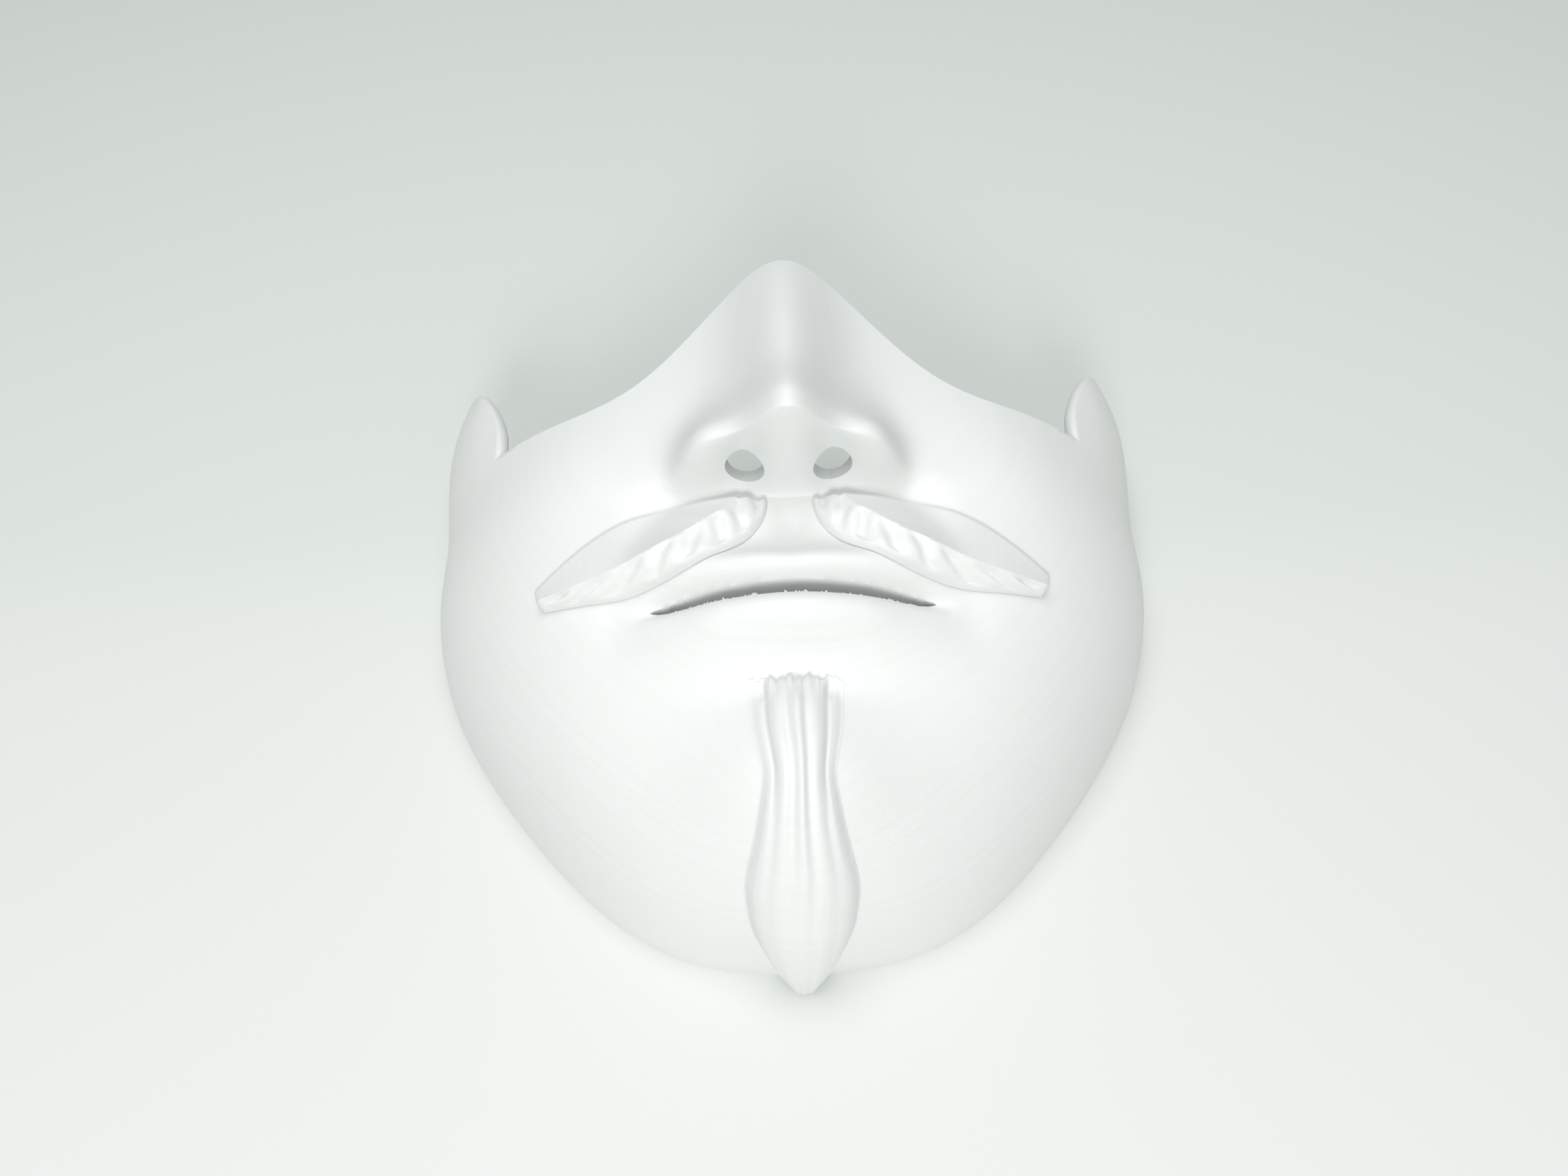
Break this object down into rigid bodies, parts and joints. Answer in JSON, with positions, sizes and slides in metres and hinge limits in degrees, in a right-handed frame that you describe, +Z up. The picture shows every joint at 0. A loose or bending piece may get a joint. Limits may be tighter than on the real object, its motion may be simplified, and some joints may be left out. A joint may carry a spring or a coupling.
{
  "type": "half face masquerade mask",
  "caption": "White half-face costume mask covering nose, cheeks, mouth and chin, with a bonded-on carved moustache and chin beard, a breathing slit and strap lugs.",
  "frame": {"origin": "on the surface that the flat rim lies on, under the middle of the overall width and length", "axes": "+X across the face towards the wearer's left side as the mask lies face up, +Y from the chin towards the nose bridge and strap lugs, +Z up, out of the face"},
  "size_m": [0.1514, 0.1284, 0.0794],
  "materials": {
    "shell_white": "matte, with fine level print layers",
    "moustache_white": "matte, carved grooves along the lower band",
    "beard_white": "matte, carved grooves from top to tip"
  },
  "bodies": {
    "root": {"face_shell": "shell_white", "moustache_left": "moustache_white", "moustache_right": "moustache_white", "chin_beard": "beard_white"}
  },
  "joints": []
}
